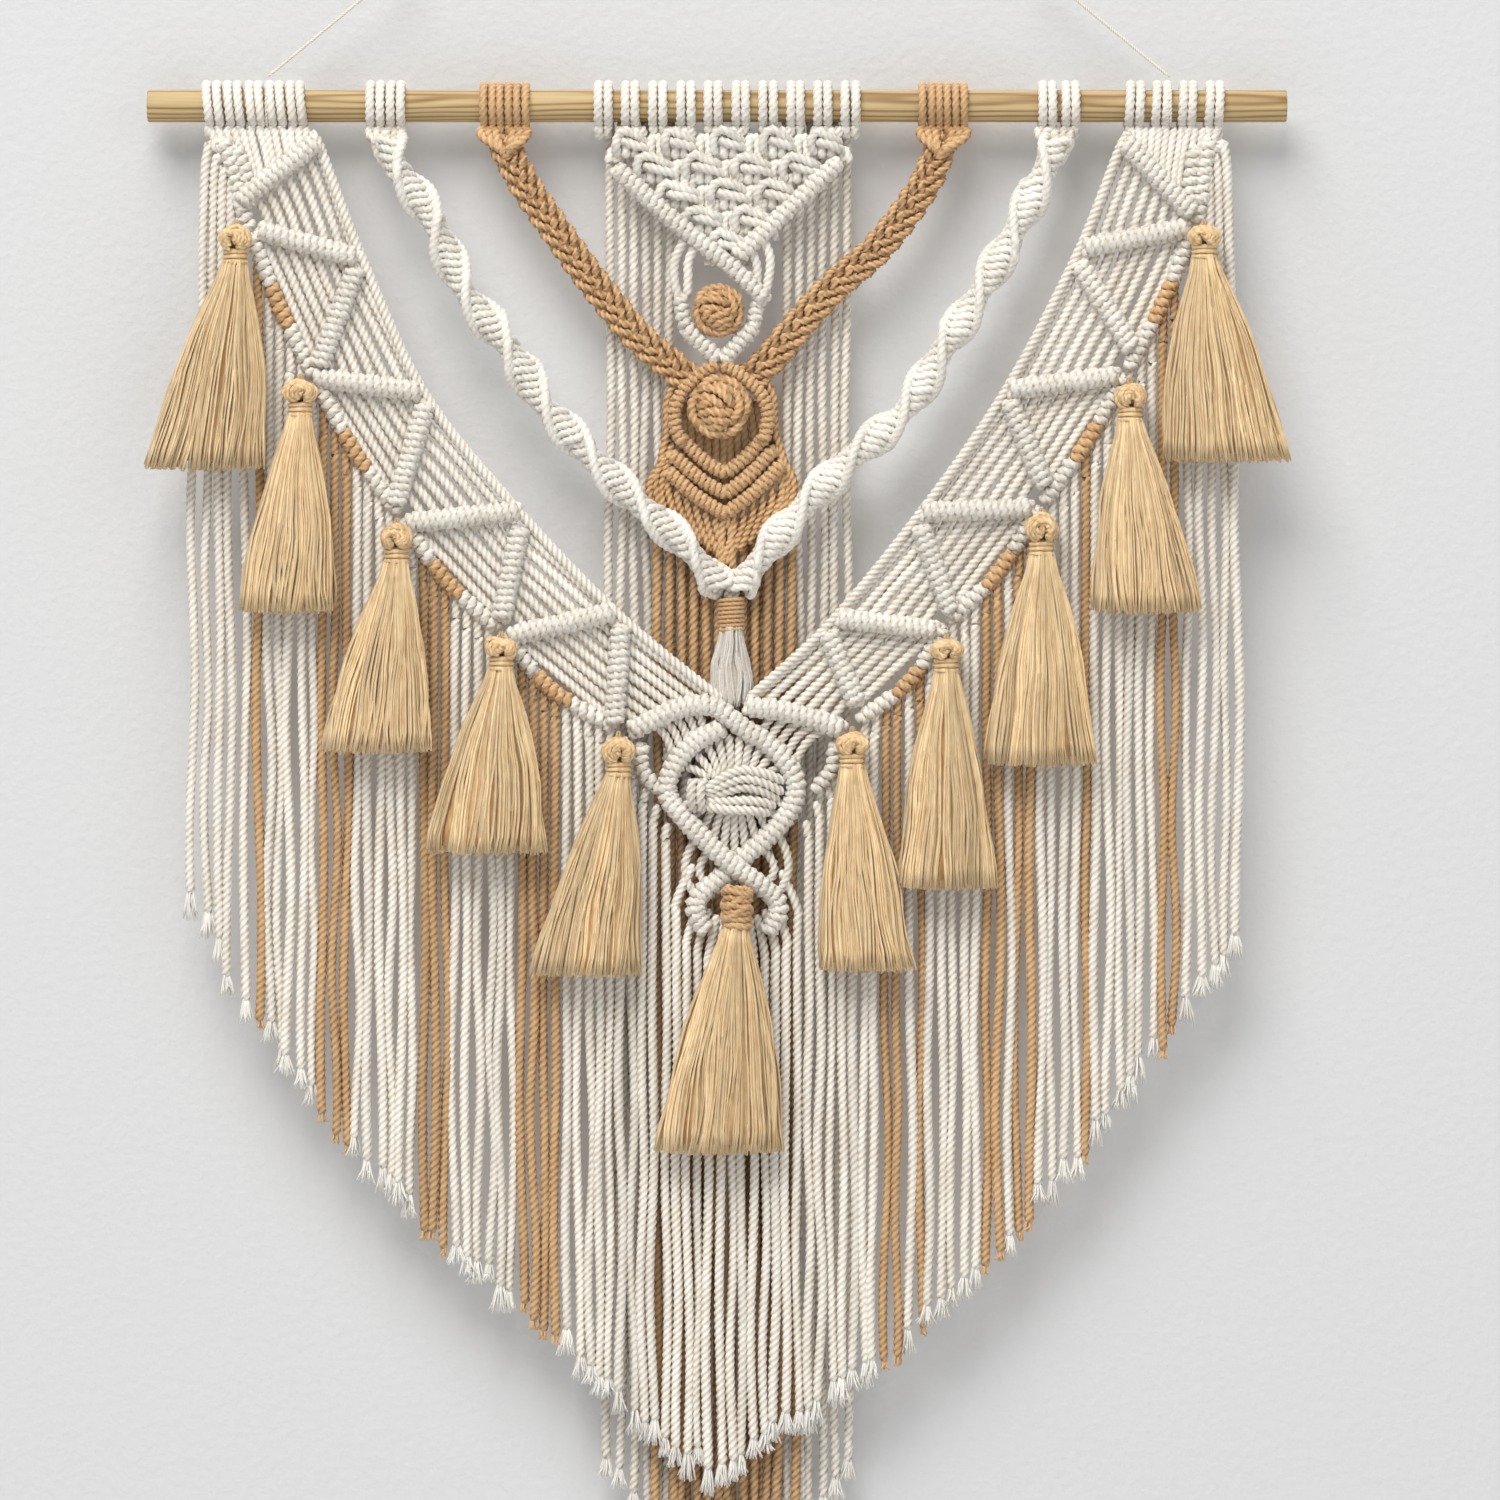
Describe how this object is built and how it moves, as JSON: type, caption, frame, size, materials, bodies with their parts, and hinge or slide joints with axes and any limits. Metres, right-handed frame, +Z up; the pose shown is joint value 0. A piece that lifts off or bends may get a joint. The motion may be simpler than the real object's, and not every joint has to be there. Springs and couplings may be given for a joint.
{
  "type": "macrame wall hanging on a dowel",
  "caption": "Knotted cotton wall hanging on a pine dowel: a V of zigzag bars with tassels, a diamond centre and a long fringe below.",
  "frame": {"origin": "in the dowel's axis, halfway along it; the nail that the string goes over is straight above", "axes": "+Z up, +X to the viewer's right along the dowel, +Y away from the viewer, towards the wall"},
  "size_m": [0.457, 0.0394, 0.653],
  "materials": {
    "pine": "bare, sanded",
    "ivory_cord": "matt twisted cotton cord",
    "tan_cord": "matt twisted cotton cord, dyed",
    "tassel_thread": "silky thread"
  },
  "bodies": {
    "root": {"dowel": "pine", "band_left": "ivory_cord", "band_right": "ivory_cord", "fringe_left": "ivory_cord", "fringe_right": "ivory_cord", "fringe_centre": "ivory_cord", "centre_panel": "ivory_cord", "panel_tail": "ivory_cord", "spiral_left": "ivory_cord", "spiral_right": "ivory_cord", "medallion": "ivory_cord", "mounting_left": "ivory_cord", "mounting_spiral_left": "ivory_cord", "mounting_centre": "ivory_cord", "mounting_spiral_right": "ivory_cord", "mounting_right": "ivory_cord", "hanging_string_left": "ivory_cord", "hanging_string_right": "ivory_cord", "string_eye_left": "ivory_cord", "string_eye_right": "ivory_cord", "tassel_small": "ivory_cord", "mounting_braid_left": "tan_cord", "mounting_braid_right": "tan_cord", "braid_left": "tan_cord", "braid_right": "tan_cord", "berry_small": "tan_cord", "tan_centre": "tan_cord", "tan_tail": "tan_cord", "tassel_left_1": "tassel_thread", "tassel_left_2": "tassel_thread", "tassel_left_3": "tassel_thread", "tassel_left_4": "tassel_thread", "tassel_left_5": "tassel_thread", "tassel_right_1": "tassel_thread", "tassel_right_2": "tassel_thread", "tassel_right_3": "tassel_thread", "tassel_right_4": "tassel_thread", "tassel_right_5": "tassel_thread", "tassel_centre": "tassel_thread"}
  },
  "joints": []
}
